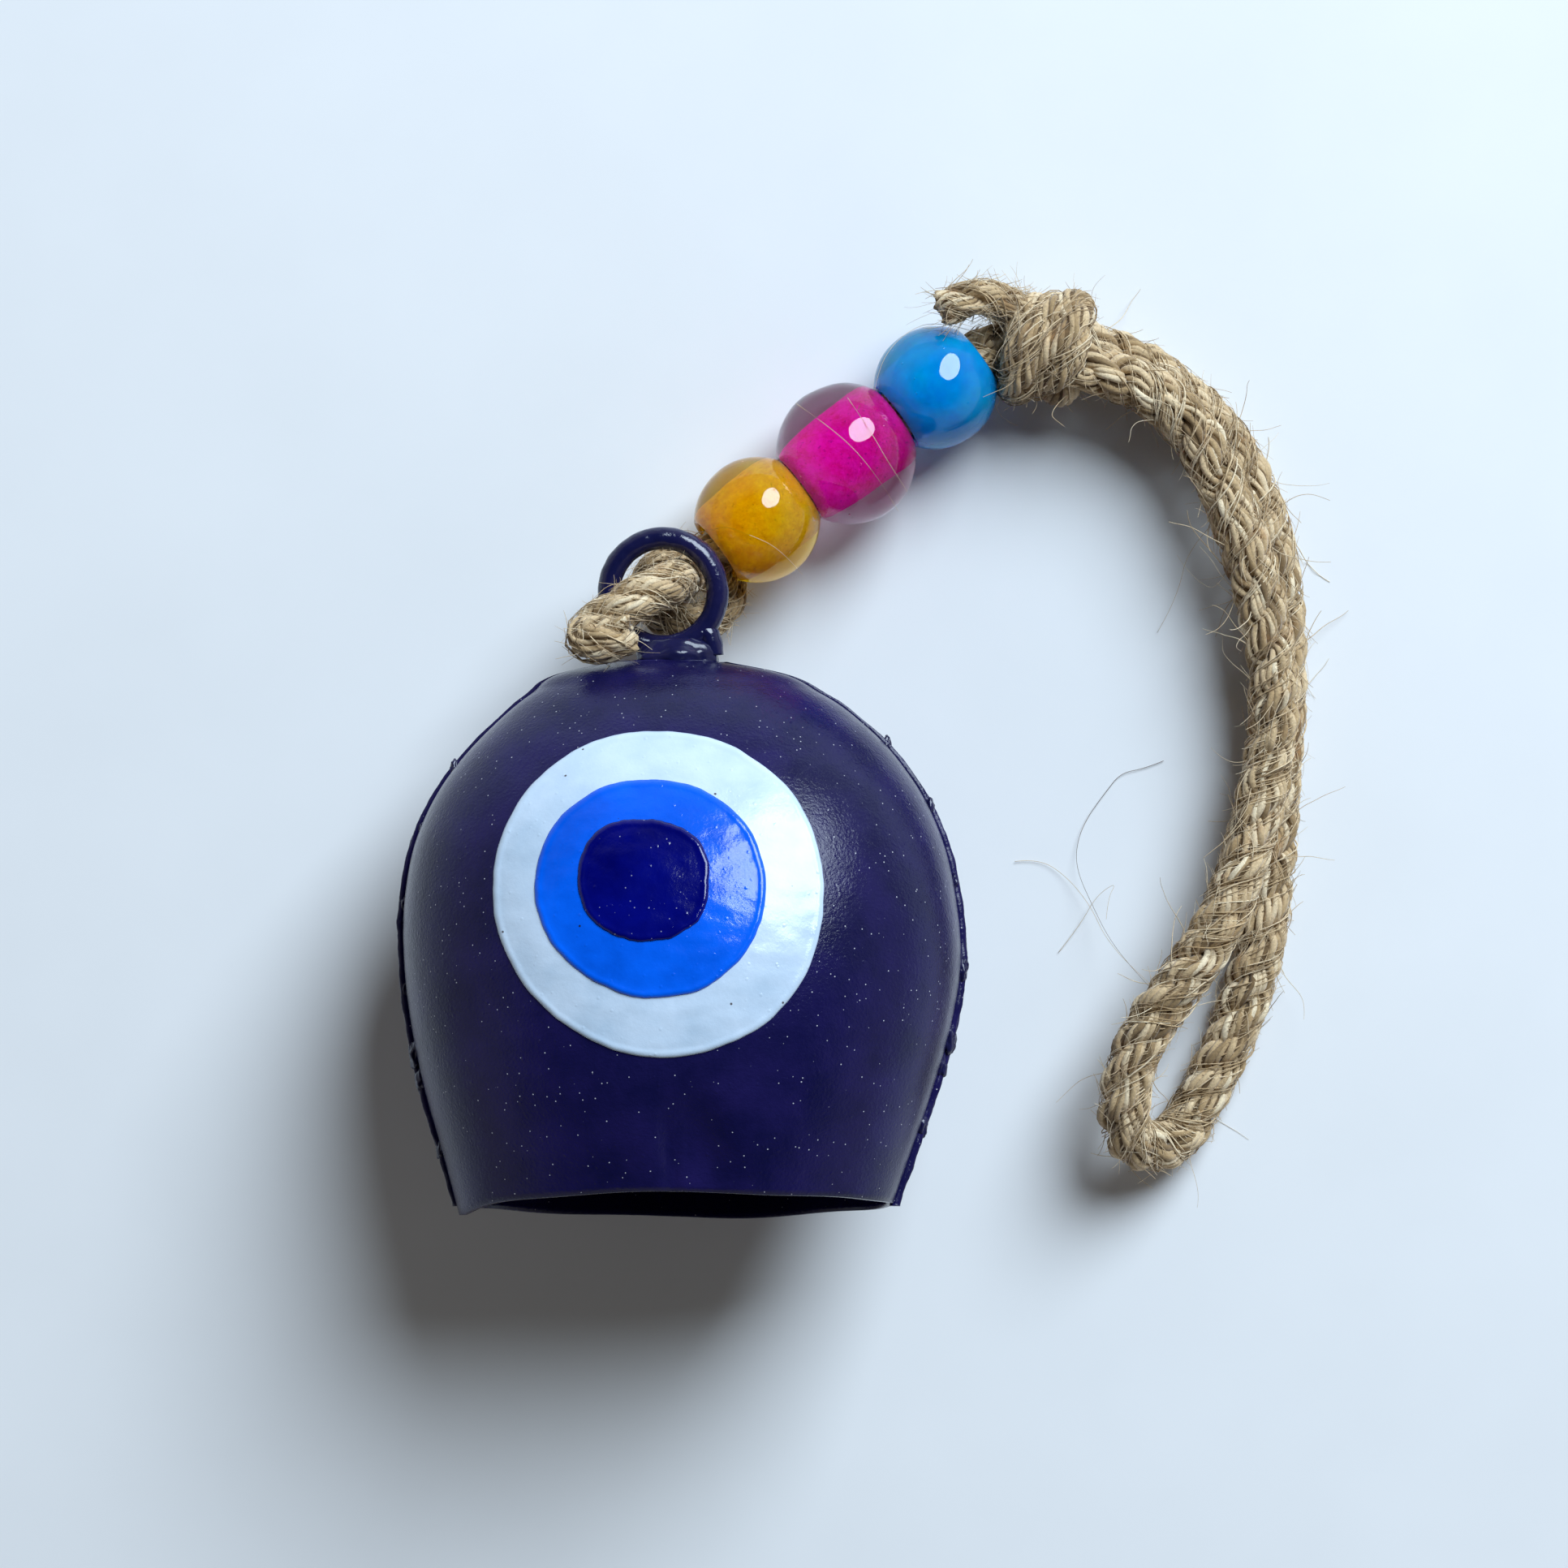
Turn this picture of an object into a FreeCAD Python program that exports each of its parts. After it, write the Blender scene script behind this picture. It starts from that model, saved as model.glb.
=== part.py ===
"""Evil-eye bell: a pressed tin bell painted with an eye, lying on its back,
with a jute strap knotted to its ring and three glass beads on the strap.

Millimetres. +X to the right, +Y from the mouth towards the ring, +Z up from
the surface the bell lies on. The origin is under the middle of the bell.
"""
import math
import os

import FreeCAD
import Part

os.makedirs("parts", exist_ok=True)
V = FreeCAD.Vector
X_AXIS = V(1, 0, 0)
Z_AXIS = V(0, 0, 1)

# ---------------------------------------------------------------- dimensions
sheet = 0.6              # tin plate of the two pressed shells
flange = 0.5             # width of the seam flange outside the shells
flange_half = 0.40       # thickness of each shell's flange
mouth_y = -29.6          # plane of the mouth, in the bell's own frame
section_power = 2.25     # roundness of the cross-section (2 is an ellipse)
tilt_deg = 8.0           # the bell lies with its mouth this much raised
seam_z = 16.89           # height of the seam plane over the table at y = 0

paint = 0.2              # thickness of each enamel layer of the eye

ring_centre = V(-1.8, 24.7, 14.2)
ring_radius = 4.82       # to the middle of the wire
ring_wire = 0.95         # wire radius of the hanging ring

hook_wire = 0.8          # wire radius of the hook, the link and the rod
link_length = 6.0        # between the two bearings of the clapper link
rod_length = 24.0        # from the rod's eye to the striker
striker_r = 3.2
striker_length = 4.2
hook_y = 14.0            # bar of the hook, along the bell's axis
hook_half = 2.6          # half the length of that bar
leg_top = 18.35          # where the hook's legs end in the crown
bearing_gap = 0.25       # play of the link on the hook and of the rod in the link
clapper_rest_deg = 23.4  # from hanging straight to lying on the back shell

cord_d = 4.5             # three-strand jute cord
hitch_d = 3.8            # the same cord pulled tight in the hitch
bore_clear = 0.3         # between the cord and the bead's lined hole
lining = 0.15            # coloured lining on the wall of each bead's hole
bead_step = 10.1         # spacing of the bead centres along the cord
bead_mid = V(14.55, 37.45, 7.0)
bead_dir = V(0.797, 0.596, -0.099)
bead_end_r = 3.3         # flat ring at each end of a bead
beads = {                # name: (place on the cord, radius, length)
    "bead_amber": (-1, 5.65, 9.0),
    "bead_magenta": (0, 6.45, 10.4),
    "bead_turquoise": (1, 5.55, 8.8),
}

ring_knot_centre = V(-0.05, 26.5, 8.0)
ring_knot_r = 4.0
big_knot_centre = V(31.9, 47.2, 5.7)

# Cross-sections of the bell in its own frame:
# (y, half width over the flange, half depth, sideways offset)
sections = [
    (18.6, 5.2, 2.0, -1.4),
    (17.7, 9.6, 4.4, -1.2),
    (15.6, 13.5, 7.4, -0.6),
    (12.4, 17.4, 10.6, -0.3),
    (8.0, 21.1, 13.7, -0.3),
    (3.0, 23.6, 16.0, -0.3),
    (-2.5, 24.8, 17.4, -0.2),
    (-8.5, 25.0, 17.9, 0.0),
    (-14.0, 24.2, 17.6, -0.1),
    (-19.5, 22.8, 16.7, -0.3),
    (-25.0, 21.0, 15.1, -0.4),
    (mouth_y, 19.5, 13.4, -0.5),
]

# Thicker lumps on the braze of each side of the seam: (y, radius)
braze_spots = {
    "left": [(9.0, 0.8), (3.5, 0.7), (-3.0, 0.75), (-10.5, 0.7), (-16.2, 1.0),
             (-18.4, 0.85), (-24.5, 0.75)],
    "right": [(11.0, 0.7), (5.5, 0.75), (-1.0, 0.7), (-8.7, 0.95), (-15.0, 1.0),
              (-17.3, 0.85), (-22.5, 0.75)],
}
braze_wire = 0.45        # radius of the even part of the braze

# Outlines of the three painted areas: centre and the radius every 30 degrees,
# counter-clockwise from +X
eye_white_outline = ((-1.8, -1.6), (14.2, 14.3, 14.0, 13.9, 14.2, 14.4,
                                    14.3, 14.0, 13.7, 14.0, 14.2, 14.4))
eye_blue_outline = ((-2.5, -1.2), (9.9, 9.8, 9.5, 9.3, 9.6, 9.9,
                                   9.9, 9.6, 9.2, 9.3, 9.6, 9.8))
eye_pupil_outline = ((-3.0, -0.5), (5.6, 5.7, 5.4, 5.2, 5.6, 5.8,
                                    5.7, 5.6, 5.3, 5.2, 5.5, 5.7))


# ------------------------------------------------------------------- helpers
def place(shape):
    """Move a shape from the bell's own frame to its lying pose."""
    out = shape.copy()
    out.rotate(V(0, 0, 0), X_AXIS, -tilt_deg)
    out.translate(V(0, 0, seam_z))
    return out


def half_section(y, half_w, half_h, cx, side, lip):
    """Half a superellipse over (+1) or under (-1) the seam, with a straight lip."""
    pts = []
    for i in range(19):
        a = math.pi * i / 18
        c = math.cos(a)
        s = math.sin(a)
        x = math.copysign(abs(c) ** (2 / section_power), c) * half_w
        z = abs(s) ** (2 / section_power) * half_h
        pts.append(V(cx + x, y, side * z))
    pts[0] = V(cx + half_w, y, 0)
    pts[-1] = V(cx - half_w, y, 0)
    curve = Part.BSplineCurve()
    curve.interpolate(pts)
    low_left = V(cx - half_w, y, -side * lip)
    low_right = V(cx + half_w, y, -side * lip)
    edges = [curve.toShape()]
    if lip:
        edges.append(Part.makeLine(pts[-1], low_left))
    edges.append(Part.makeLine(low_left, low_right))
    if lip:
        edges.append(Part.makeLine(low_right, pts[0]))
    return Part.Wire(edges)


def half_pillow(side, grow, lip=0.0, top_cut=0.0, mouth_add=0.0):
    """One half of the bell as a solid, grown by an offset on its outer face."""
    wires = []
    last = len(sections) - 1
    for i, (y, w, h, cx) in enumerate(sections):
        if i == 0:
            y = y - top_cut
        if i == last:
            y = y - mouth_add
        wires.append(half_section(y, w - flange + grow, h + grow, cx, side, lip))
    return Part.makeLoft(wires, True, False)


def flange_plate(z0, z1):
    """Flat plate with the outline of the seam flange."""
    right = [V(cx + w, y, z0) for y, w, h, cx in sections]
    left = [V(cx - w, y, z0) for y, w, h, cx in reversed(sections)]
    edges = []
    for pts in (right, left):
        curve = Part.BSplineCurve()
        curve.interpolate(pts)
        edges.append(curve.toShape())
    edges.insert(1, Part.makeLine(right[-1], left[0]))
    edges.append(Part.makeLine(left[-1], right[0]))
    return Part.Face(Part.Wire(edges)).extrude(V(0, 0, z1 - z0))


def ball(centre, r):
    return Part.makeSphere(r, centre)


def rod(a, b, r):
    return Part.makeCylinder(r, (b - a).Length, a, b - a)


def fuse(shapes):
    out = shapes[0]
    for s in shapes[1:]:
        out = out.fuse(s)
    return out.removeSplitter()


def chain(points, r):
    """Solid of round rods and balls along a short run of points."""
    shapes = [ball(points[0], r)]
    for a, b in zip(points, points[1:]):
        shapes.append(rod(a, b, r))
        shapes.append(ball(b, r))
    return fuse(shapes)


def tube_route(points):
    """Straight runs joined by tangent arcs; returns the wire and the radii."""
    runs = [(b - a) for a, b in zip(points, points[1:])]
    edges = []
    radii = []
    start = points[0]
    for i in range(1, len(points) - 1):
        before = runs[i - 1]
        after = runs[i]
        half = before.getAngle(after) / 2
        trim = 0.45 * min(before.Length, after.Length)
        radius = trim / math.tan(half)
        d_in = V(before).normalize()
        d_out = V(after).normalize()
        p_in = points[i] - d_in * trim
        p_out = points[i] + d_out * trim
        middle = V(d_out - d_in).normalize()
        centre = points[i] + middle * (radius / math.cos(half))
        p_mid = centre - middle * radius
        edges.append(Part.LineSegment(start, p_in).toShape())
        edges.append(Part.Arc(p_in, p_mid, p_out).toShape())
        radii.append(radius)
        start = p_out
    edges.append(Part.LineSegment(start, points[-1]).toShape())
    return Part.Wire(edges), radii


def tube(name, points, d):
    """Round cord swept along its route; prints how tight the bends are."""
    wire, radii = tube_route(points)
    along = points[1] - points[0]
    disc = Part.Wire([Part.makeCircle(d / 2, points[0], along)])
    solid = wire.makePipeShell([disc], True, True)
    area = math.pi * d * d / 4
    print(name, "length %.1f mm" % wire.Length,
          "tightest %.1f mm" % min(radii),
          "volume / (section x length) %.3f" % (solid.Volume / (area * wire.Length)))
    print("   radii", ["%.1f" % r for r in radii])
    return solid


# ------------------------------------------------------------------ the bell
def shell(side):
    """One pressed half: its bulge and the flat flange around it."""
    hollow = half_pillow(side, -sheet, lip=1.0, top_cut=sheet, mouth_add=1.5)
    bulge = half_pillow(side, 0.0).cut(hollow)
    z0 = 0.0 if side > 0 else -flange_half
    rim = flange_plate(z0, z0 + flange_half).cut(hollow)
    return bulge.fuse(rim).removeSplitter()


front = shell(1)
back = shell(-1)


def edge_at(y, side):
    """Point on the flange's outer edge at height y, by straight interpolation."""
    for (y1, w1, h1, c1), (y0, w0, h0, c0) in zip(sections, sections[1:]):
        if y0 <= y <= y1:
            t = (y - y0) / (y1 - y0)
            return V(c0 + t * (c1 - c0) + side * (w0 + t * (w1 - w0)), y, 0)
    raise ValueError(y)


def seam_braze(side):
    """Thin fillet of braze run along the flange edge."""
    ys = [11.6, 7.4, 2.2, -3.4, -9.0, -14.6, -20.2, -25.6]
    pts = [edge_at(y, side) + V(0.05 * side, 0, 0) for y in ys]
    wire, radii = tube_route(pts)
    disc = Part.Wire([Part.makeCircle(braze_wire, pts[0], pts[1] - pts[0])])
    return wire.makePipeShell([disc], True, True)


def braze_lumps(hand, side):
    """Separate lumps where the braze stands proud."""
    return Part.makeCompound([ball(edge_at(y, side) + V(0.05 * side, 0, 0), r)
                              for y, r in braze_spots[hand]])


solids = {}
solids["front_shell"] = place(front)
solids["back_shell"] = place(back)
for hand, side in (("left", -1), ("right", 1)):
    solids["seam_braze_" + hand] = place(seam_braze(side))
    solids["braze_lumps_" + hand] = place(braze_lumps(hand, side))

# Ring on the crown: a closed turn of wire with one end run down as a foot
ring = Part.makeTorus(ring_radius, ring_wire, ring_centre, Z_AXIS)
foot_a = ring_centre + V(3.75, -3.0, 0)
foot_b = V(2.5, 19.3, ring_centre.z)
ring = fuse([ring, ball(foot_a, ring_wire), rod(foot_a, foot_b, ring_wire),
             ball(foot_b, ring_wire)])
solids["hanging_ring"] = ring

# Braze that fills the corner between the ring and the crown
blob = ball(V(0, 0, 0), 1.0)
stretch = FreeCAD.Matrix()
stretch.scale(V(3.6, 1.75, 2.3))
blob = blob.transformGeometry(stretch)
blob.translate(V(-0.6, 18.9, ring_centre.z))
solids["crown_braze"] = blob

# --------------------------------------------------------------- the clapper
# Built hanging straight down the bell's axis, then laid against the back shell
bar = V(-1.4, hook_y, 0)
hook = [rod(bar + V(-hook_half, 0, 0), bar + V(hook_half, 0, 0), hook_wire)]
for side in (-1, 1):
    knee = bar + V(side * hook_half, 0, 0)
    hook.append(ball(knee, hook_wire))
    hook.append(rod(knee, V(knee.x, leg_top, 0), hook_wire))
solids["clapper_hook"] = place(fuse(hook))

link_turn = 2 * hook_wire + bearing_gap


def link_shape():
    """Two round eyes at right angles, joined by a short shank."""
    top = Part.makeTorus(link_turn, hook_wire, bar, X_AXIS)
    low = bar + V(0, -link_length, 0)
    bottom = Part.makeTorus(link_turn, hook_wire, low, Z_AXIS)
    shank = rod(bar + V(0, -link_turn, 0), low + V(0, link_turn, 0), hook_wire)
    return fuse([top, bottom, shank])


# The rod's own eye is threaded through the link's lower eye
eye_centre = bar + V(0, -link_length - link_turn, 0)


def rod_shape():
    """Wire eye with a straight wire rod below it, and where the rod ends."""
    eye = Part.makeTorus(link_turn, hook_wire, eye_centre, X_AXIS)
    start = eye_centre - V(0, link_turn, 0)
    end = start - V(0, rod_length, 0)
    return fuse([eye, rod(start, end, hook_wire)]), end


link = link_shape()
clapper_rod, rod_end = rod_shape()
striker = Part.makeCylinder(striker_r, striker_length, rod_end + V(0, 3.2, 0), V(0, -1, 0))
striker = striker.makeFillet(1.2, striker.Edges)


def lay(shape):
    """Turn the clapper about the hook's bar, then place it with the bell."""
    out = shape.copy()
    out.rotate(bar, X_AXIS, clapper_rest_deg)
    return place(out)


solids["clapper_link"] = lay(link)
solids["clapper_rod"] = lay(clapper_rod)
solids["clapper_striker"] = lay(striker)


# ------------------------------------------------------------ the painted eye
def outline_prism(outline):
    """Tall block with one of the painted outlines."""
    (cx, cy), radii = outline
    pts = []
    for i, r in enumerate(radii):
        a = math.radians(30 * i)
        pts.append(V(cx + r * math.cos(a), cy + r * math.sin(a), 21))
    curve = Part.BSplineCurve()
    curve.interpolate(Points=pts, PeriodicFlag=True)
    return Part.Face(Part.Wire([curve.toShape()])).extrude(V(0, 0, 25))


layers = (("eye_white", eye_white_outline), ("eye_blue", eye_blue_outline),
          ("eye_pupil", eye_pupil_outline))
below = place(half_pillow(1, 0.0))
for level, (name, outline) in enumerate(layers, 1):
    above = place(half_pillow(1, paint * level))
    solids[name] = above.common(outline_prism(outline)).cut(below)
    below = above

# ------------------------------------------------------------------ the beads
axis = V(bead_dir).normalize()
hole_r = cord_d / 2 + bore_clear


def along(distance):
    return bead_mid + axis * distance


def bead(radius, length):
    """Barrel bead about +Z with a round hole, and the lining of that hole."""
    half = length / 2
    wall = hole_r + lining
    profile = [
        Part.LineSegment(V(wall, 0, -half), V(bead_end_r, 0, -half)).toShape(),
        Part.Arc(V(bead_end_r, 0, -half), V(radius, 0, 0), V(bead_end_r, 0, half)).toShape(),
        Part.LineSegment(V(bead_end_r, 0, half), V(wall, 0, half)).toShape(),
        Part.LineSegment(V(wall, 0, half), V(wall, 0, -half)).toShape(),
    ]
    glass = Part.Face(Part.Wire(profile)).revolve(V(0, 0, 0), Z_AXIS, 360)
    coat = Part.makeCylinder(wall, length, V(0, 0, -half))
    coat = coat.cut(Part.makeCylinder(hole_r, length + 2, V(0, 0, -half - 1)))
    return glass, coat


for name, (slot, radius, length) in beads.items():
    for part_name, shape in zip((name, name + "_lining"), bead(radius, length)):
        turn = FreeCAD.Placement(along(slot * bead_step), FreeCAD.Rotation(Z_AXIS, axis))
        shape.Placement = turn
        solids[part_name] = shape

# ------------------------------------------------------------------ the strap
# Cord through the beads, ending inside the knot on either side
bead_run_a = -17.6
bead_run_b = 17.0
solids["cord_bead_run"] = rod(along(bead_run_a), along(bead_run_b), cord_d / 2)
print("cord_bead_run length %.1f mm, straight" % (bead_run_b - bead_run_a))

# Stopper knot behind the ring
solids["ring_knot"] = fuse([
    ball(ring_knot_centre, ring_knot_r),
    Part.makeTorus(2.2, 1.9, ring_knot_centre + V(0.3, 0.2, 0.2), V(0.5, 0.6, 0.4)),
])

# Cord up through the ring, over its wire and folded back beside the crown
solids["ring_hitch"] = chain([
    V(-0.8, 25.6, 10.6), V(-1.0, 25.6, 15.0), V(-3.9, 24.1, 17.7), V(-6.6, 22.4, 18.1),
    V(-8.6, 20.9, 18.5), V(-7.0, 20.3, 19.1), V(-4.8, 20.8, 19.0),
], hitch_d / 2)

# Big knot: three wraps around a core
wraps = []
for shift, r_major, lean in ((-2.5, 2.9, 0.25), (0.4, 3.2, 0.1), (3.0, 2.7, -0.15)):
    centre = big_knot_centre + V(shift, 0.1 * shift, 0)
    wraps.append(Part.makeTorus(r_major, 2.0, centre, V(1.0, lean, 0.1)))
core_a = big_knot_centre + V(-3.2, -0.6, 0)
core_b = big_knot_centre + V(3.2, 0.2, 0)
wraps.append(rod(core_a, core_b, 3.0))
solids["bead_knot"] = fuse(wraps)

# Short frayed end that leaves the big knot over the last bead
solids["knot_tail"] = chain([V(29.6, 50.9, 7.6), V(27.0, 52.4, 9.0), V(24.6, 51.8, 9.6)], 1.5)

# From the knot along the upper strand, round the fold and back along the table
loop_route = [
    V(35.4, 45.3, 7.8), V(40.4, 44.2, 7.1), V(45.2, 40.7, 6.8), V(48.2, 35.2, 6.8),
    V(50.5, 29.2, 6.8), V(52.4, 22.8, 6.8), V(53.3, 16.2, 6.8), V(52.6, 9.6, 6.9),
    V(51.0, 2.8, 7.5), V(48.6, -4.2, 8.5), V(44.7, -10.0, 9.3), V(40.9, -15.0, 9.6),
    V(39.3, -20.2, 9.0), V(39.8, -24.6, 7.0), V(43.8, -25.5, 3.2), V(46.9, -21.0, 2.3),
    V(50.2, -14.2, 2.3), V(52.5, -6.8, 2.3), V(53.2, 1.0, 2.3), V(53.8, 8.6, 2.3),
    V(54.2, 16.0, 2.3), V(54.1, 23.4, 2.3), V(53.2, 30.4, 2.3), V(50.6, 37.0, 2.3),
    V(46.2, 42.4, 2.4), V(41.2, 45.8, 2.8), V(36.0, 47.6, 3.4),
]
solids["cord_loop"] = tube("cord_loop", loop_route, cord_d)

# ----------------------------------------------------------------- write out
for name, shape in solids.items():
    if not shape.isValid():
        print("NOT VALID", name)
    box = shape.optimalBoundingBox()
    print("%-22s solids %d vol %9.2f x %6.1f..%6.1f y %6.1f..%6.1f z %5.2f..%5.2f" % (
        name, len(shape.Solids), shape.Volume, box.XMin, box.XMax, box.YMin, box.YMax,
        box.ZMin, box.ZMax))
    shape.exportStep("parts/%s.step" % name)
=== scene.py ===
"""Looks of the evil-eye bell: painted tin, glass beads and a jute strap.

The bell lies on its back on z = 0 with its ring towards +Y, and the strap runs
off to the right. Shapes are worked out in millimetres and made in metres.
"""
import math
import random

import bmesh
import bpy
import numpy as np
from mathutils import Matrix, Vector, noise


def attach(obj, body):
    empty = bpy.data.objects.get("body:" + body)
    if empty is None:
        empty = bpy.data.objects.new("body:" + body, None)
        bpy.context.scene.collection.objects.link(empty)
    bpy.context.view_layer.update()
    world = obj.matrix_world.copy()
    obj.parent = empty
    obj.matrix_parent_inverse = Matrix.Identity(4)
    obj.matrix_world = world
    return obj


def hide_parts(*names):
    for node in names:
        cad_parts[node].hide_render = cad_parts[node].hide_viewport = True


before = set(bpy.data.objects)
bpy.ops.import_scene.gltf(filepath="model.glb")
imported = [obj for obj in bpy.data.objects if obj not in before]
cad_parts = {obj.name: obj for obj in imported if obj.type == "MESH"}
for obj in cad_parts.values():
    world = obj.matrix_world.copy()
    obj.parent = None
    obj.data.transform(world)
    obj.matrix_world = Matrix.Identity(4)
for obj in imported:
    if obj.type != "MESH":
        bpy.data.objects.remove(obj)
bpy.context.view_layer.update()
MM = 0.001

# ---------------------------------------------------------------- dimensions
STEP = 0.25               # between points along a line; all sizes are in millimetres
SHEET = 0.6               # the tin's thickness
FLANGE = 0.5
FLANGE_HALF = 0.40
CROWN_Y = 18.6
MOUTH_Y = -29.6
POWER = 2.25
TILT = math.radians(-8.0)
SEAM_Z = 16.89
RING_CENTRE = (-1.8, 24.7, 14.2)
RING_R = 4.82
RING_WIRE = 1.0
CORD_D = 4.5
HITCH_D = 3.8
BEAD_MID = np.array((14.55, 37.45, 7.0))
BEAD_DIR = np.array((0.797, 0.596, -0.099))
BEAD_DIR = BEAD_DIR / np.linalg.norm(BEAD_DIR)
BEAD_STEP = 10.1
BEAD_END_R = 3.3
HOLE_R = CORD_D / 2 + 0.3
LINING = 0.15
BEAD_GROWTH = 0.3         # closes the gap that the CAD beads leave between them
SECTIONS = np.array([     # y, half width over the flange, half depth, offset
    (CROWN_Y, 5.2, 2.0, -1.4),
    (17.7, 9.6, 4.4, -1.2),
    (15.6, 13.5, 7.4, -0.6),
    (12.4, 17.4, 10.6, -0.3),
    (8.0, 21.1, 13.7, -0.3),
    (3.0, 23.6, 16.0, -0.3),
    (-2.5, 24.8, 17.4, -0.2),
    (-8.5, 25.0, 17.9, 0.0),
    (-14.0, 24.2, 17.6, -0.1),
    (-19.5, 22.8, 16.7, -0.3),
    (-25.0, 21.0, 15.1, -0.4),
    (MOUTH_Y, 19.5, 13.4, -0.5),
])
EYE_WHITE = ((-1.8, -1.6), (14.2, 14.3, 14.0, 13.9, 14.2, 14.4,
                            14.3, 14.0, 13.7, 14.0, 14.2, 14.4))
EYE_BLUE = ((-2.5, -1.2), (9.9, 9.8, 9.5, 9.3, 9.6, 9.9,
                           9.9, 9.6, 9.2, 9.3, 9.6, 9.8))
EYE_PUPIL = ((-3.0, -0.5), (5.6, 5.7, 5.4, 5.2, 5.6, 5.8,
                            5.7, 5.6, 5.3, 5.2, 5.5, 5.7))
LOOP_ROUTE = [
    (35.4, 45.3, 7.8), (40.4, 44.2, 7.1), (45.2, 40.7, 6.8), (48.2, 35.2, 6.8),
    (50.5, 29.2, 6.8), (52.4, 22.8, 6.8), (53.3, 16.2, 6.8), (52.6, 9.6, 6.9),
    (51.0, 2.8, 7.5), (48.6, -4.2, 8.5), (44.7, -10.0, 9.3), (40.9, -15.0, 9.6),
    (39.3, -20.2, 9.0), (39.8, -24.6, 7.0), (43.8, -25.5, 3.2), (46.9, -21.0, 2.3),
    (50.2, -14.2, 2.3), (52.5, -6.8, 2.3), (53.2, 1.0, 2.3), (53.8, 8.6, 2.3),
    (54.2, 16.0, 2.3), (54.1, 23.4, 2.3), (53.2, 30.4, 2.3), (50.6, 37.0, 2.3),
    (46.2, 42.4, 2.4), (41.2, 45.8, 2.8), (36.0, 47.6, 3.4),
]

# ----------------------------------------------------------- camera and light
scene = bpy.context.scene
CAMERA_XY = (8.93, 7.68)
CAMERA_HEIGHT = 520.0
cam_data = bpy.data.cameras.new("camera")
cam_data.sensor_fit = "HORIZONTAL"
cam_data.angle = 2 * math.atan(966 / 7014)
cam_data.clip_start = 0.02
cam = bpy.data.objects.new("camera", cam_data)
cam.location = (CAMERA_XY[0] * MM, CAMERA_XY[1] * MM, CAMERA_HEIGHT * MM)
scene.collection.objects.link(cam)
scene.camera = cam


# ------------------------------------------------------------- cord first of all
def spline_object(name, route):
    """The cord's centreline as a NURBS curve through its route's control points."""
    data = bpy.data.curves.new(name, "CURVE")
    data.dimensions = "3D"
    spl = data.splines.new("NURBS")
    spl.points.add(len(route) - 1)
    for p, r in zip(spl.points, route):
        p.co = (r[0] * MM, r[1] * MM, r[2] * MM, 1.0)
    spl.order_u = 3
    spl.use_endpoint_u = True
    spl.resolution_u = 16
    obj = bpy.data.objects.new(name, data)
    scene.collection.objects.link(obj)
    return obj


def centreline(route, step=STEP):
    """Evenly spaced points in millimetres along the cord's NURBS line."""
    obj = spline_object("line_probe", route)
    mesh = bpy.data.meshes.new_from_object(obj)
    pts = np.array([v.co[:] for v in mesh.vertices]) / MM
    bpy.data.objects.remove(obj)
    bpy.data.meshes.remove(mesh)
    return resample(pts, step)


def resample(pts, step=STEP):
    seg = np.linalg.norm(np.diff(pts, axis=0), axis=1)
    keep = np.concatenate([[True], seg > 1e-6])
    pts = pts[keep]
    s = np.concatenate([[0], np.cumsum(np.linalg.norm(np.diff(pts, axis=0), axis=1))])
    count = max(int(s[-1] / step), 4)
    at = np.linspace(0, s[-1], count + 1)
    return np.stack([np.interp(at, s, pts[:, k]) for k in range(3)], axis=1)


def frames(pts):
    """Parallel-transport normals and binormals along a line."""
    t = np.gradient(pts, axis=0)
    t /= np.linalg.norm(t, axis=1)[:, None]
    n = np.zeros_like(pts)
    up = np.array((0.0, 0.0, 1.0)) if abs(t[0][2]) < 0.9 else np.array((1.0, 0.0, 0.0))
    v = up - t[0] * up.dot(t[0])
    n[0] = v / np.linalg.norm(v)
    for i in range(1, len(pts)):
        v = n[i - 1] - t[i] * n[i - 1].dot(t[i])
        n[i] = v / np.linalg.norm(v)
    return t, n, np.cross(t, n)


# ------------------------------------------------------------------ mesh helpers
def mesh_object(name, verts, faces, smooth=True):
    """Mesh object from millimetre points."""
    me = bpy.data.meshes.new(name)
    me.from_pydata([tuple(v) for v in np.asarray(verts) * MM], [], faces)
    me.update()
    if smooth:
        me.polygons.foreach_set("use_smooth", [True] * len(me.polygons))
    obj = bpy.data.objects.new(name, me)
    scene.collection.objects.link(obj)
    return obj


def grid_faces(rows, cols, base=0, wrap=False, flip=False):
    faces = []
    for i in range(rows - 1):
        for j in range(cols if wrap else cols - 1):
            k = (j + 1) % cols
            f = (base + i * cols + j, base + i * cols + k,
                 base + (i + 1) * cols + k, base + (i + 1) * cols + j)
            faces.append(f[::-1] if flip else f)
    return faces


class Builder:
    """Collects vertices and faces of one mesh, with one value per vertex."""

    def __init__(self):
        self.verts = []
        self.faces = []
        self.tone = []
        self.count = 0

    def add(self, verts, faces, tone):
        self.verts.append(np.asarray(verts, float))
        self.faces += [tuple(i + self.count for i in f) for f in faces]
        self.tone.append(np.broadcast_to(np.asarray(tone, float), (len(verts),)))
        self.count += len(verts)

    def make(self, name, smooth=True):
        obj = mesh_object(name, np.concatenate(self.verts), self.faces, smooth)
        attr = obj.data.attributes.new("tone", "FLOAT", "POINT")
        attr.data.foreach_set("value", np.concatenate(self.tone))
        return obj


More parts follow.
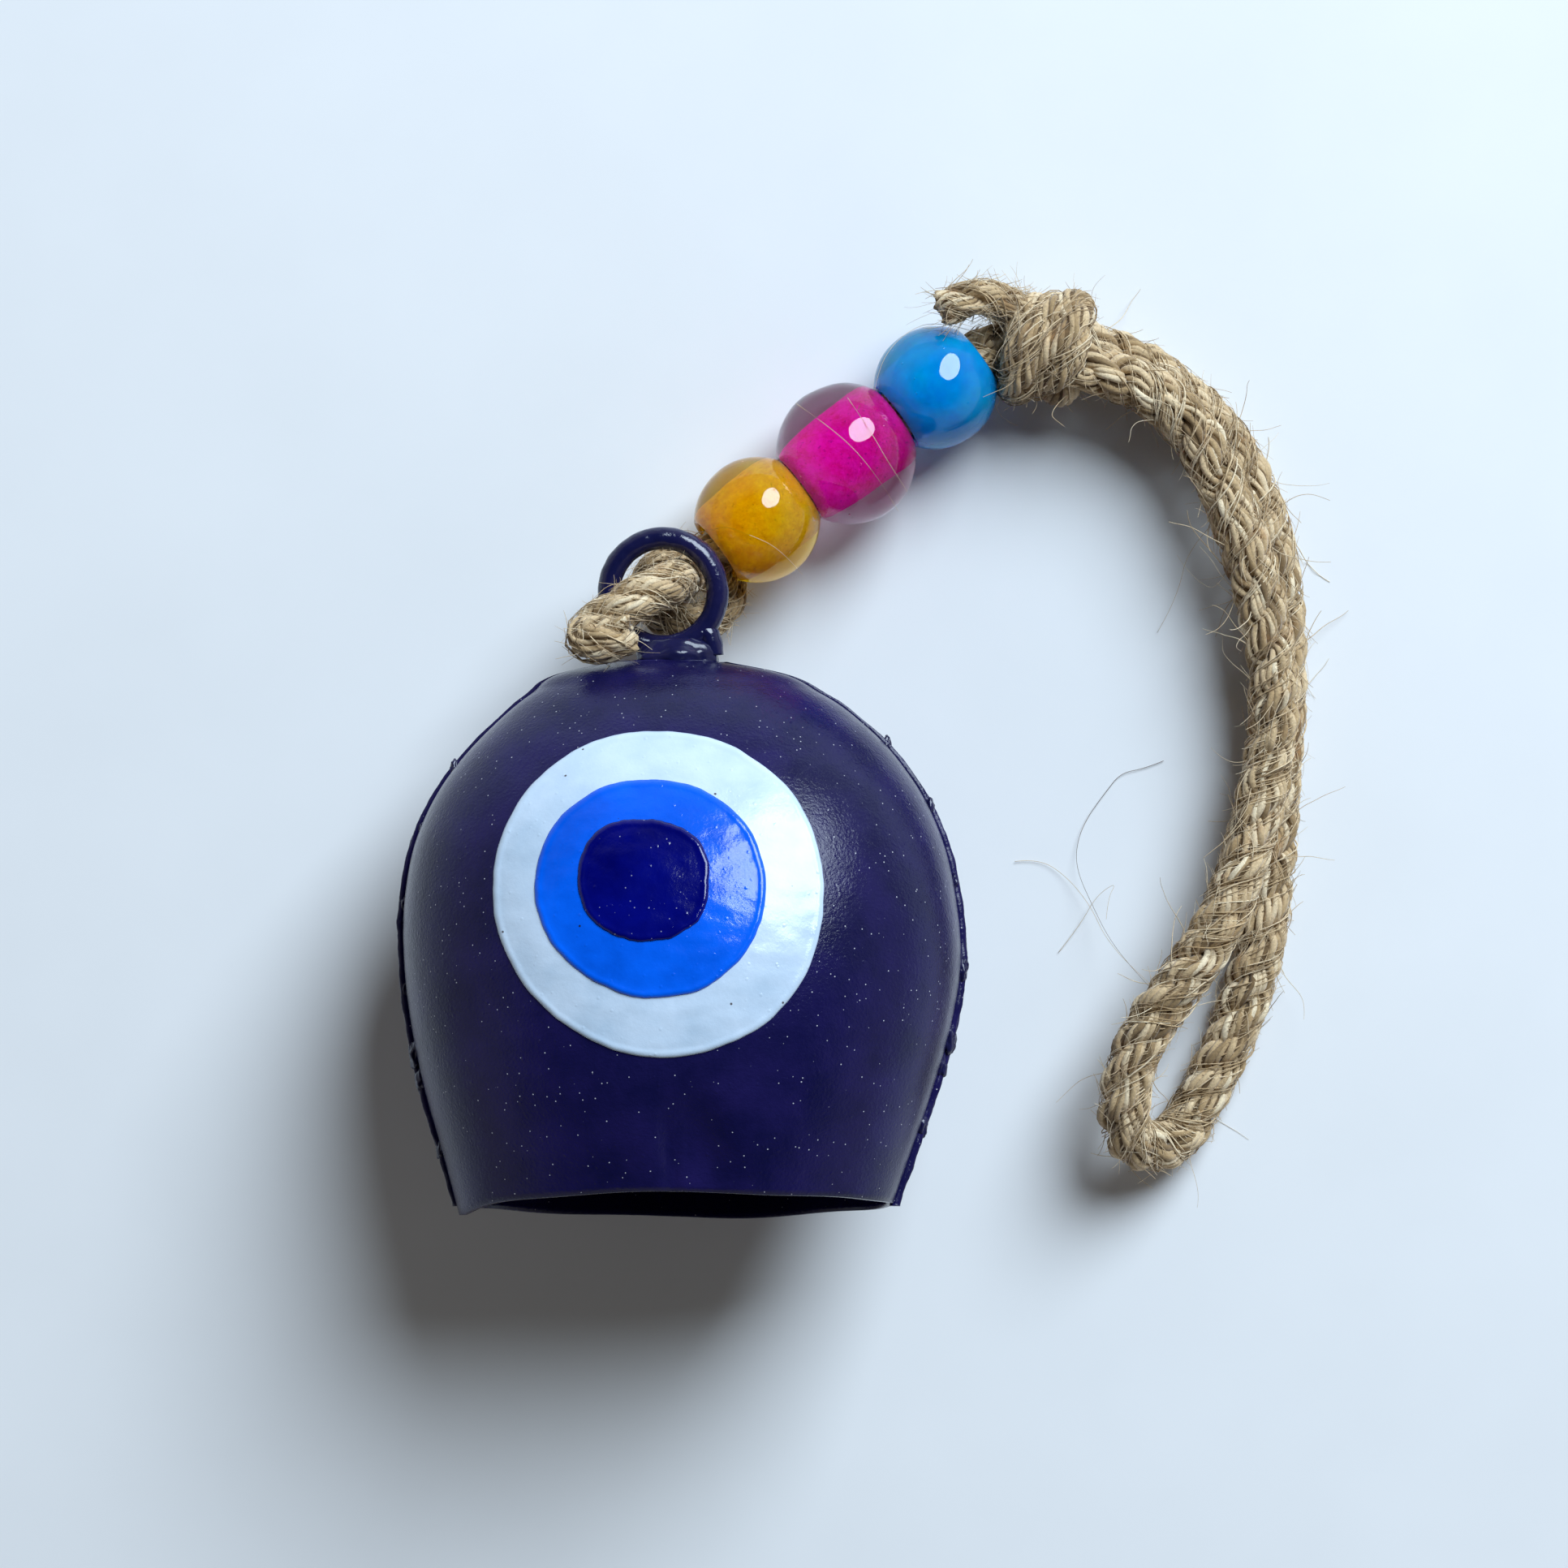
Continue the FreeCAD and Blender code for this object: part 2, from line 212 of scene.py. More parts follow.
def tube_mesh(pts, radius, sides, cap=True):
    """Vertices and faces of a tube with a radius per point."""
    t, n, b = frames(pts)
    a = np.linspace(0, 2 * math.pi, sides, endpoint=False)
    radius = np.broadcast_to(np.asarray(radius, float), (len(pts),))
    ring = (np.cos(a)[None, :, None] * n[:, None, :] + np.sin(a)[None, :, None] * b[:, None, :])
    verts = (pts[:, None, :] + ring * radius[:, None, None]).reshape(-1, 3)
    faces = grid_faces(len(pts), sides, wrap=True)
    if cap:
        faces.append(tuple(range(sides))[::-1])
        last = (len(pts) - 1) * sides
        faces.append(tuple(range(last, last + sides)))
    return verts, faces


# ----------------------------------------------------------------- rope building
STRAND_LAY = 9.6          # length of one full twist of the three strands
YARN_LAY = 5.0            # twist of the yarns that make up a strand
YARNS = 9                 # yarns in a strand
LOWEST = 0.06             # no fibre lies lower over the table than this
FUZZ_REACH = 1.6          # how far a short fibre may stray from where it left the rope


def rope(builder, line, d, rng, start_phase=0.0):
    """Three uneven twisted strands, each of a few twisted yarns, on a centre line."""
    t, n, b = frames(line)
    s = np.concatenate([[0], np.cumsum(np.linalg.norm(np.diff(line, axis=0), axis=1))])
    strand_r = d * 0.232
    strand_off = d * 0.262
    yarn_r = strand_r * 0.30
    for k in range(3):
        wob = rng.uniform(0, 6.28)
        a = start_phase + 2 * math.pi * (k / 3 + s / STRAND_LAY) + 0.20 * np.sin(s * 0.43 + wob)
        a = a + 0.10 * np.sin(s * 1.3 + 2 * wob)
        off = strand_off * (1 + 0.09 * np.sin(s * 0.8 + wob))
        core = line + (np.cos(a) * off)[:, None] * n + (np.sin(a) * off)[:, None] * b
        v, f = tube_mesh(core, strand_r * 0.84, 10)
        # the strand core gets a near-black tone: painted shade in the grooves between the yarns
        builder.add(v, f, 0.04)
        ct, cn, cb = frames(core)
        for j in range(YARNS):
            w2 = rng.uniform(0, 6.28)
            ya = 2 * math.pi * (j / YARNS - s / YARN_LAY) + 0.35 * np.sin(s * 1.1 + w2)
            lift = strand_r * (0.80 + 0.10 * np.sin(s * 1.7 + w2 * 2))
            path = core + (np.cos(ya) * lift)[:, None] * cn + (np.sin(ya) * lift)[:, None] * cb
            thick = yarn_r * (1 + 0.16 * np.sin(s * 2.3 + w2) + 0.10 * np.sin(s * 5.1 + w2 * 3))
            v, f = tube_mesh(path, thick, 6)
            shade = rng.uniform(0.25, 0.8) + 0.22 * np.sin(s * rng.uniform(0.3, 0.9) + w2)
            builder.add(v, f, np.clip(np.repeat(shade, 6), 0.02, 1.0))


def fibre(builder, start, direction, length, rng, curl, r, sides=3, axis=None):
    """One loose fibre: a thin curved hair."""
    steps = max(6, int(length / 0.35))
    p = np.array(start, float)
    d = np.array(direction, float)
    d /= np.linalg.norm(d)
    turn = np.array([rng.gauss(0, 1) for _ in range(3)]) * curl
    pts = [p.copy()]
    step = length / steps
    for _ in range(steps):
        turn = turn * 0.85 + np.array([rng.gauss(0, 1) for _ in range(3)]) * curl * 0.45
        d = d + turn * step * 0.5
        d /= np.linalg.norm(d)
        p = p + d * step
        if p[2] < LOWEST:
            p[2] = LOWEST
            d[2] = abs(d[2]) * 0.3
        if axis is not None and len(pts) > 4:
            away = (p - start) - axis * axis.dot(p - start)
            if np.linalg.norm(away) > FUZZ_REACH:
                break
        pts.append(p.copy())
    pts = np.array(pts)
    radius = r * np.linspace(1.0, 0.45, len(pts))
    v, f = tube_mesh(pts, radius, sides, cap=False)
    builder.add(v, f, rng.uniform(0.45, 1.0))


def surface_fibres(builder, line, d, rng, per_mm=6.0):
    """Fine fibres that lie on the rope and soften its grooves."""
    t, n, b = frames(line)
    step = np.linalg.norm(line[1] - line[0])
    total = int(per_mm * len(line) * step)
    for _ in range(total):
        count = int(rng.uniform(3.0, 9.0) / step)
        i0 = rng.randrange(max(1, len(line) - 6))
        idx = np.arange(i0, min(i0 + count, len(line)), 2)
        if len(idx) < 4:
            continue
        s = (idx - i0) * step
        rate = 2 * math.pi / STRAND_LAY * rng.uniform(0.45, 1.5)
        a = (rng.uniform(0, 6.28) + rate * s
             + 0.15 * np.sin(s * rng.uniform(0.6, 1.6) + rng.uniform(0, 6)))
        r = d * (rng.uniform(0.455, 0.51) + 0.02 * np.sin(s * 1.3 + rng.uniform(0, 6)))
        path = line[idx] + (np.cos(a) * r)[:, None] * n[idx] + (np.sin(a) * r)[:, None] * b[idx]
        path[:, 2] = np.maximum(path[:, 2], LOWEST)
        thick = rng.uniform(0.035, 0.085) * np.sin(np.linspace(0.25, math.pi - 0.25, len(idx)))
        v, f = tube_mesh(path, thick, 4, cap=False)
        builder.add(v, f, rng.uniform(0.1, 1.0))


def fuzz(builder, line, d, rng, per_mm, reach=1.0):
    """Flyaway fibres that leave the rope and run mostly along it."""
    t, n, b = frames(line)
    total = int(per_mm * len(line) * np.linalg.norm(line[1] - line[0]))
    for _ in range(total):
        i = rng.randrange(len(line))
        a = rng.uniform(0, 2 * math.pi)
        radial = math.cos(a) * n[i] + math.sin(a) * b[i]
        side = math.cos(a + 1.57) * n[i] + math.sin(a + 1.57) * b[i]
        along = t[i] * rng.choice((-1, 1))
        out = 0.15 + 0.8 * rng.random() ** 2 * reach
        direction = along + side * rng.uniform(-1.1, 1.1) + radial * out
        start = line[i] + radial * d * 0.44
        length = 1.5 + 2.6 * rng.random() ** 1.5 * reach
        fibre(builder, start, direction, min(length, 4.0), rng, curl=0.55,
              r=rng.uniform(0.022, 0.05), axis=t[i])


def stray_hairs(builder, line, d, rng, count, longest):
    """Long curling fibres that have come loose from the rope."""
    t, n, b = frames(line)
    for _ in range(count):
        i = rng.randrange(len(line))
        a = rng.uniform(0, 2 * math.pi)
        radial = math.cos(a) * n[i] + math.sin(a) * b[i]
        direction = (t[i] * rng.choice((-1, 1)) * rng.uniform(0.6, 1.3)
                     + radial * rng.uniform(0.3, 0.9))
        start = line[i] + radial * d * 0.42
        length = longest * rng.uniform(0.35, 1.0)
        fibre(builder, start, direction, length, rng, curl=0.5,
              r=rng.uniform(0.025, 0.055), sides=4)


# --------------------------------------------------------------- material helpers
def new_material(name):
    mat = bpy.data.materials.new(name)
    mat.use_nodes = True
    nt = mat.node_tree
    bsdf = nt.nodes["Principled BSDF"]
    return mat, nt, bsdf


def node(nt, kind, **values):
    nd = nt.nodes.new(kind)
    for key, value in values.items():
        if key in nd.inputs:
            nd.inputs[key].default_value = value
        else:
            setattr(nd, key, value)
    return nd


def coords(nt):
    """Object coordinates in millimetres."""
    tc = node(nt, "ShaderNodeTexCoord")
    mp = node(nt, "ShaderNodeMapping")
    mp.inputs["Scale"].default_value = (1 / MM,) * 3
    nt.links.new(tc.outputs["Object"], mp.inputs["Vector"])
    return mp.outputs["Vector"]


def noise_tex(nt, vec, scale, detail=4.0, rough=0.55):
    tex = node(nt, "ShaderNodeTexNoise", Scale=scale, Detail=detail, Roughness=rough)
    nt.links.new(vec, tex.inputs["Vector"])
    return tex.outputs["Fac"]


def ramp(nt, fac, stops):
    rp = node(nt, "ShaderNodeValToRGB")
    cr = rp.color_ramp
    while len(cr.elements) < len(stops):
        cr.elements.new(0.5)
    for el, (pos, col) in zip(cr.elements, stops):
        el.position = pos
        el.color = (*col, 1.0) if len(col) == 3 else col
    nt.links.new(fac, rp.inputs["Fac"])
    return rp.outputs["Color"]


def mix(nt, fac, a, b, blend="MIX"):
    mx = nt.nodes.new("ShaderNodeMix")
    mx.data_type = "RGBA"
    mx.blend_type = blend
    for sock, value in ((mx.inputs[0], fac), (mx.inputs[6], a), (mx.inputs[7], b)):
        if isinstance(value, (int, float)):
            sock.default_value = value
        elif isinstance(value, tuple):
            sock.default_value = (*value, 1.0) if len(value) == 3 else value
        else:
            nt.links.new(value, sock)
    return mx.outputs[2]


def math_node(nt, op, a, b=0.0):
    m = nt.nodes.new("ShaderNodeMath")
    m.operation = op
    for sock, value in ((m.inputs[0], a), (m.inputs[1], b)):
        if isinstance(value, (int, float)):
            sock.default_value = value
        else:
            nt.links.new(value, sock)
    return m.outputs[0]


def bump(nt, bsdf, heights):
    """Chain of bumps, each (height socket, strength, distance)."""
    last = None
    for h, st, dist in heights:
        bp = node(nt, "ShaderNodeBump")
        bp.inputs["Strength"].default_value = st
        bp.inputs["Distance"].default_value = dist
        nt.links.new(h, bp.inputs["Height"])
        if last is not None:
            nt.links.new(last, bp.inputs["Normal"])
        last = bp.outputs["Normal"]
    nt.links.new(last, bsdf.inputs["Normal"])


def enamel(name, low, high, rough, speck=0.0, spec=0.4, grain=0.2, fleck=None):
    """Hand-brushed enamel: two tones of one colour with orange peel.

    speck is the brightness of painted glints, pale dots added to the colour as tiny highlights;
    fleck the colour of a few dark spots.
    """
    mat, nt, bsdf = new_material(name)
    vec = coords(nt)
    tone = noise_tex(nt, vec, 0.16, 5.0, 0.6)
    col = ramp(nt, tone, [(0.35, low), (0.65, high)])
    # painted glints: pale Voronoi dots added to the colour as tiny highlights
    if speck:
        vor = node(nt, "ShaderNodeTexVoronoi", Scale=1.3)
        nt.links.new(vec, vor.inputs["Vector"])
        glint_dots = ramp(nt, vor.outputs["Distance"], [(0.05, (speck,) * 3), (0.09, (0, 0, 0))])
        col = mix(nt, 1.0, col, glint_dots, "ADD")
    if fleck:
        vor = node(nt, "ShaderNodeTexVoronoi", Scale=0.33)
        nt.links.new(vec, vor.inputs["Vector"])
        spots = ramp(nt, vor.outputs["Distance"], [(0.03, (1, 1, 1)), (0.045, (0, 0, 0))])
        col = mix(nt, spots, col, fleck)
    nt.links.new(col, bsdf.inputs["Base Color"])
    rg = ramp(nt, noise_tex(nt, vec, 0.7, 4.0),
              [(0.3, (rough * 0.85,) * 3), (0.7, (rough * 1.2,) * 3)])
    nt.links.new(rg, bsdf.inputs["Roughness"])
    bsdf.inputs["Specular IOR Level"].default_value = spec
    peel = noise_tex(nt, vec, 0.8, 3.0)
    fine = noise_tex(nt, vec, 3.6, 3.0)
    pimple = node(nt, "ShaderNodeTexVoronoi", Scale=0.9)
    nt.links.new(vec, pimple.inputs["Vector"])
    pip = ramp(nt, pimple.outputs["Distance"], [(0.0, (1, 1, 1)), (0.16, (0, 0, 0))])
    bump(nt, bsdf, [(peel, 0.3, 0.00012), (fine, grain, 0.00005), (pip, 0.35, 0.00008)])
    return mat


def jute_material():
    """Jute coloured by each fibre's tone, browner in patches; the near-black low end of the tone
    ramp is painted shade on the strand cores in the grooves.
    """
    mat, nt, bsdf = new_material("jute")
    vec = coords(nt)
    at = node(nt, "ShaderNodeAttribute", attribute_name="tone")
    tone = at.outputs["Fac"]
    patch = noise_tex(nt, vec, 0.35, 4.0, 0.6)
    # the near-black first stop paints shade on the strand cores in the rope's grooves
    col = ramp(nt, tone, [(0.0, (0.12, 0.068, 0.026)), (0.3, (0.45, 0.31, 0.16)),
                          (0.65, (0.70, 0.53, 0.325)), (1.0, (0.88, 0.75, 0.54))])
    warm = ramp(nt, patch, [(0.56, (0, 0, 0)), (0.72, (1, 1, 1))])
    col = mix(nt, math_node(nt, "MULTIPLY", warm, 0.45), col, (0.42, 0.21, 0.075))
    grain = noise_tex(nt, vec, 4.5, 4.0, 0.7)
    shade = ramp(nt, grain, [(0.25, (0.45, 0.42, 0.38)), (0.7, (1.15, 1.12, 1.05))])
    col = mix(nt, 0.75, col, shade, "MULTIPLY")
    nt.links.new(col, bsdf.inputs["Base Color"])
    bsdf.inputs["Roughness"].default_value = 0.78
    bsdf.inputs["Specular IOR Level"].default_value = 0.3
    bsdf.inputs["Sheen Weight"].default_value = 0.25
    bump(nt, bsdf, [(grain, 0.5, 0.00012)])
    return mat


def glass_material(name, low, high, transmission):
    """Clouded glass with a few pits."""
    mat, nt, bsdf = new_material(name)
    vec = coords(nt)
    cloud = noise_tex(nt, vec, 0.30, 4.0, 0.6)
    col = ramp(nt, cloud, [(0.35, low), (0.68, high)])
    nt.links.new(col, bsdf.inputs["Base Color"])
    bsdf.inputs["Transmission Weight"].default_value = transmission
    bsdf.inputs["Roughness"].default_value = 0.04
    bsdf.inputs["IOR"].default_value = 1.5
    dent = noise_tex(nt, vec, 0.6, 3.0)
    bubble = node(nt, "ShaderNodeTexVoronoi", Scale=0.8)
    nt.links.new(vec, bubble.inputs["Vector"])
    pit = ramp(nt, bubble.outputs["Distance"], [(0.0, (1, 1, 1)), (0.10, (0, 0, 0))])
    bump(nt, bsdf, [(dent, 0.08, 0.0001), (pit, 0.5, 0.0001)])
    return mat


def lining_material(name, low, high):
    """Matt, grainy colour inside a bead's hole."""
    mat, nt, bsdf = new_material(name)
    vec = coords(nt)
    col = ramp(nt, noise_tex(nt, vec, 0.9, 6.0, 0.8), [(0.36, low), (0.6, high)])
    grit = ramp(nt, noise_tex(nt, vec, 3.5, 3.0), [(0.62, (1, 1, 1)), (0.72, (0.6, 0.55, 0.6))])
    col = mix(nt, 1.0, col, grit, "MULTIPLY")
    nt.links.new(col, bsdf.inputs["Base Color"])
    bsdf.inputs["Roughness"].default_value = 0.7
    bsdf.inputs["Specular IOR Level"].default_value = 0.05
    bump(nt, bsdf, [(noise_tex(nt, vec, 2.5, 4.0), 0.5, 0.0002)])
    return mat


def metal_material(name, low, high, rough):
    """Worn bare metal."""
    mat, nt, bsdf = new_material(name)
    vec = coords(nt)
    wear = noise_tex(nt, vec, 0.5, 6.0, 0.65)
    col = ramp(nt, wear, [(0.35, low), (0.62, high)])
    nt.links.new(col, bsdf.inputs["Base Color"])
    bsdf.inputs["Metallic"].default_value = 0.85
    rg = ramp(nt, wear, [(0.3, (rough * 1.4,) * 3), (0.7, (rough * 0.8,) * 3)])
    nt.links.new(rg, bsdf.inputs["Roughness"])
    bump(nt, bsdf, [(noise_tex(nt, vec, 3.0, 4.0), 0.3, 0.0001)])
    return mat


NAVY_LOW = (0.005, 0.005, 0.041)
NAVY_HIGH = (0.012, 0.009, 0.070)
# speck gives the navy shell paint and the pupil painted glints
paint_mat = enamel("shell_paint", NAVY_LOW, NAVY_HIGH,
                   rough=0.19, speck=0.5, spec=0.25, grain=0.85)
ring_mat = enamel("ring_paint", (0.006, 0.007, 0.04), (0.012, 0.011, 0.055),
                  rough=0.12, spec=0.5, grain=0.5)
braze_mat = enamel("braze_paint", (0.006, 0.007, 0.038), (0.015, 0.014, 0.06),
                   rough=0.16, grain=0.15)
white_mat = enamel("white_enamel", (0.45, 0.57, 0.70), (0.57, 0.68, 0.81),
                   rough=0.2, fleck=(0.10, 0.09, 0.10))
blue_mat = enamel("blue_enamel", (0.0006, 0.082, 0.60), (0.002, 0.12, 0.82),
                  rough=0.15, fleck=(0.01, 0.02, 0.06))
pupil_mat = enamel("pupil_enamel", (0.0004, 0.001, 0.085), (0.001, 0.0025, 0.15),
                   rough=0.12, speck=0.25)
jute_mat = jute_material()
amber_mat = glass_material("amber_glass", (0.96, 0.50, 0.0), (1.0, 0.70, 0.01), 0.8)
magenta_mat = glass_material("magenta_glass", (0.90, 0.70, 0.86), (0.97, 0.86, 0.95), 1.0)
turq_mat = glass_material("turquoise_glass", (0.0, 0.40, 0.92), (0.0, 0.60, 1.0), 0.65)
amber_lin = lining_material("amber_coat", (0.80, 0.38, 0.0), (1.0, 0.68, 0.005))
magenta_lin = lining_material("magenta_coat", (0.85, 0.0, 0.22), (1.0, 0.004, 0.45))
turq_lin = lining_material("turquoise_coat", (0.0, 0.20, 0.62), (0.0, 0.46, 0.95))
wire_mat = metal_material("clapper_wire", (0.06, 0.05, 0.045), (0.30, 0.28, 0.26), 0.4)
iron_mat = metal_material("striker_iron", (0.035, 0.03, 0.028), (0.13, 0.12, 0.11), 0.5)


def assign(obj, mat):
    obj.data.materials.clear()
    obj.data.materials.append(mat)


def finish_piece(obj, mat, body, slot, *nodes):
    assign(obj, mat)
    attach(obj, body)
    if nodes:
        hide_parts(*nodes)
    return obj


# ------------------------------------------------------------- the bell's surface
def profile(y):
    """Half width over the flange, half depth and offset at height y."""
    ys = SECTIONS[::-1, 0]
    out = []
    for k in (1, 2, 3):
        out.append(catmull(ys, SECTIONS[::-1, k], y))
    return out


def catmull(xs, vs, x):
    """Smooth interpolation through unevenly spaced values."""
    x = np.asarray(x, float)
    slope = np.gradient(vs, xs)
    i = np.clip(np.searchsorted(xs, x) - 1, 0, len(xs) - 2)
    h = xs[i + 1] - xs[i]
    t = (x - xs[i]) / h
    a = (1 + 2 * t) * (1 - t) ** 2
    b = t * (1 - t) ** 2
    c = t * t * (3 - 2 * t)
    d = t * t * (t - 1)
    return a * vs[i] + b * h * slope[i] + c * vs[i + 1] + d * h * slope[i + 1]


def to_world(x, y, z):
    """From the bell's own frame to its lying pose."""
    c = math.cos(TILT)
    s = math.sin(TILT)
    return np.stack([x, y * c - z * s, y * s + z * c + SEAM_Z], axis=-1)


DENTS = [       # x, y, radius x, radius y, depth, in the bell's own frame
    (0.9, -24.6, 2.6, 4.2, 0.75),
    (2.7, -26.6, 2.0, 3.2, 0.35),
    (-13.5, 7.5, 3.0, 2.2, 0.22),
    (-9.0, 11.5, 2.4, 1.6, 0.16),
    (11.0, 10.0, 2.6, 2.0, 0.14),
    (17.5, -8.0, 3.0, 4.0, 0.20),
    (-17.0, -14.0, 3.0, 5.0, 0.22),
    (6.0, -19.5, 4.0, 3.0, 0.18),
]


def dent(x, y):
    d = np.zeros_like(x)
    for cx, cy, rx, ry, depth in DENTS:
        d += depth * np.exp(-((x - cx) / rx) ** 2 - ((y - cy) / ry) ** 2)
    crease = 0.30 * np.exp(-((x + 0.9 + 0.12 * (y + 26)) / 0.55) ** 2)
    d += crease * np.clip((-21.0 - y) / 4.0, 0, 1)
    return d


def front_height(x, y, grow=0.0):
    """Height of the outer front face over the seam plane, before denting."""
    w, h, cx = profile(y)
    u = np.clip(np.abs(x - cx) / (w - FLANGE + grow), 0, 1)
    return (h + grow) * (1 - u ** POWER) ** (1 / POWER)


def wavy_mouth(a, side):
    """How far the rim stands in or out of the mouth plane at an angle."""
    base = 0.18 * np.sin(3 * a + 0.6) + 0.10 * np.sin(7 * a + 2.0)
    if side > 0:
        base = base + 0.55 * np.exp(-((a - 1.45) / 0.42) ** 2)
        base = base - 0.9 * np.exp(-((a - 2.85) / 0.45) ** 2)
    return base


def shell_mesh(side, name):
    """One pressed half with its inner face, rim and side edges as a closed mesh."""
    rows = 150
    cols = 170
    a = np.linspace(0, math.pi, cols)
    # rows close up towards the crown, where the shell turns fastest
    q = np.linspace(0, 1, rows)
    ys = CROWN_Y - (CROWN_Y - MOUTH_Y) * (0.55 * q + 0.45 * q ** 2.2)

    def sheet_at(inset, top):
        yy = np.minimum(ys, top)
        w, h, cx = profile(yy)
        c = np.cos(a)
        s = np.sin(a)
        bx = np.sign(c) * np.abs(c) ** (2 / POWER)
        bz = np.abs(s) ** (2 / POWER)
        x = cx[:, None] + bx[None, :] * (w - FLANGE - inset)[:, None]
        z = bz[None, :] * (h - inset)[:, None]
        y = np.repeat(yy[:, None], cols, axis=1)
        fade = np.clip((q - 0.82) / 0.18, 0, 1) ** 2
        y = y + fade[:, None] * wavy_mouth(a, side)[None, :]
        if side > 0:
            z = z - dent(x, y) * np.clip(z / 3.0, 0, 1)
        else:
            z = z - 0.6 * dent(-x, y + 3) * np.clip(z / 3.0, 0, 1) * 0.4
        return np.stack([x, y, z * side], axis=-1)

    outer = sheet_at(0.0, CROWN_Y)
    inner = sheet_at(SHEET, 18.0)
    verts = np.concatenate([outer.reshape(-1, 3), inner.reshape(-1, 3)])
    verts = to_world(verts[:, 0], verts[:, 1], verts[:, 2])
    n = rows * cols
    flip = side < 0
    faces = grid_faces(rows, cols, 0, flip=not flip)
    faces += grid_faces(rows, cols, n, flip=flip)

    def strip(a_idx, b_idx, rev):
        out = []
        for i in range(len(a_idx) - 1):
            f = (a_idx[i], a_idx[i + 1], b_idx[i + 1], b_idx[i])
            out.append(f[::-1] if rev else f)
        return out

    mouth_o = [(rows - 1) * cols + j for j in range(cols)]
    mouth_i = [n + k for k in mouth_o]
    faces += strip(mouth_o, mouth_i, not flip)
    left_o = [i * cols for i in range(rows)]
    faces += strip(left_o, [n + k for k in left_o], flip)
    right_o = [i * cols + cols - 1 for i in range(rows)]
    faces += strip(right_o, [n + k for k in right_o], not flip)
    faces.append(tuple(range(cols)) if flip else tuple(range(cols))[::-1])
    top_i = tuple(n + j for j in range(cols))
    faces.append(top_i[::-1] if flip else top_i)
    return mesh_object(name, verts, faces)


def flange_mesh(side, name):
    """The flat, slightly ragged flange of one half."""
    rng = random.Random(5 if side > 0 else 6)
    ys = np.concatenate([np.linspace(CROWN_Y, 12, 40), np.linspace(11.7, MOUTH_Y, 190)])
    w, h, cx = profile(ys)
    b = Builder()
    z0, z1 = (0.0, FLANGE_HALF) if side > 0 else (-FLANGE_HALF, 0.0)
    for hand in (-1, 1):
        rag = np.array([noise.noise((y * 0.55, hand * 7.0, side * 3.0)) for y in ys]) * 0.15
        rag += np.array([noise.noise((y * 2.3, hand * 9.0, side * 5.0)) for y in ys]) * 0.04
        edge = cx + hand * (w + rag)
        root = cx + hand * (w - FLANGE - 0.35)
        bend = np.array([noise.noise((y * 0.4, hand * 3.0, side * 8.0)) for y in ys]) * 0.17
        lift = bend + (0.35 if hand > 0 else 0.0) * np.clip((ys + 5) / 20, 0, 1)
        ring = []
        for x, zz in ((root, z0), (edge, z0 + lift + 0.06),
                      (edge + hand * 0.06, (z0 + z1) / 2 + lift),
                      (edge, z1 + lift - 0.06), (root, z1)):
            ring.append(to_world(x, ys, zz + 0 * ys))
        verts = np.stack(ring, axis=1).reshape(-1, 3)
        faces = grid_faces(len(ys), 5, wrap=True, flip=hand < 0)
        faces.append(tuple(range(5)))
        last = (len(ys) - 1) * 5
        faces.append(tuple(range(last, last + 5))[::-1])
        b.add(verts, faces, 0.5)
    # crown stretch between the two sides
    x = np.linspace(cx[0] - w[0], cx[0] + w[0], 40)
    out = 0.15 * np.array([noise.noise((v * 0.8, 2.0, side)) for v in x])
    ring = []
    for y, zz in ((17.9 + 0 * x, z0), (18.62 + out, z0), (18.62 + out, z1), (17.9 + 0 * x, z1)):
        ring.append(to_world(x, y, zz + 0 * x))
    verts = np.stack(ring, axis=1).reshape(-1, 3)
    faces = grid_faces(len(x), 4, wrap=True)
    faces.append((3, 2, 1, 0))
    last = (len(x) - 1) * 4
    faces.append((last, last + 1, last + 2, last + 3))
    b.add(verts, faces, 0.5)
    return b.make(name)


finish_piece(shell_mesh(1, "front_shell_skin"), paint_mat, "bell", "shell_paint", "front_shell")
finish_piece(shell_mesh(-1, "back_shell_skin"), paint_mat, "bell", "shell_paint", "back_shell")
finish_piece(flange_mesh(1, "front_flange"), paint_mat, "bell", "shell_paint")
finish_piece(flange_mesh(-1, "back_flange"), paint_mat, "bell", "shell_paint")


# ----------------------------------------------------------------------- the eye
def polar_radius(radii, a):
    """Smooth closed curve through radii given every thirty degrees."""
    n = len(radii)
    pos = (a / (2 * math.pi) * n) % n
    i = np.floor(pos).astype(int)
    t = pos - i
    r = np.array(radii)
    p0, p1, p2, p3 = r[(i - 1) % n], r[i % n], r[(i + 1) % n], r[(i + 2) % n]
    return 0.5 * (2 * p1 + (p2 - p0) * t + (2 * p0 - 5 * p1 + 4 * p2 - p3) * t ** 2
                  + (3 * p1 - p0 - 3 * p2 + p3) * t ** 3)


def surface_z(x, y, grow):
    """World height of the dented front face over a world point."""
    c = math.cos(TILT)
    s = math.sin(TILT)
    z_l = np.full_like(x, 16.0)
    for _ in range(12):
        y_l = (y + z_l * s) / c
        z_l = front_height(x, y_l, grow) - dent(x, y_l)
    return y_l * s + z_l * c + SEAM_Z


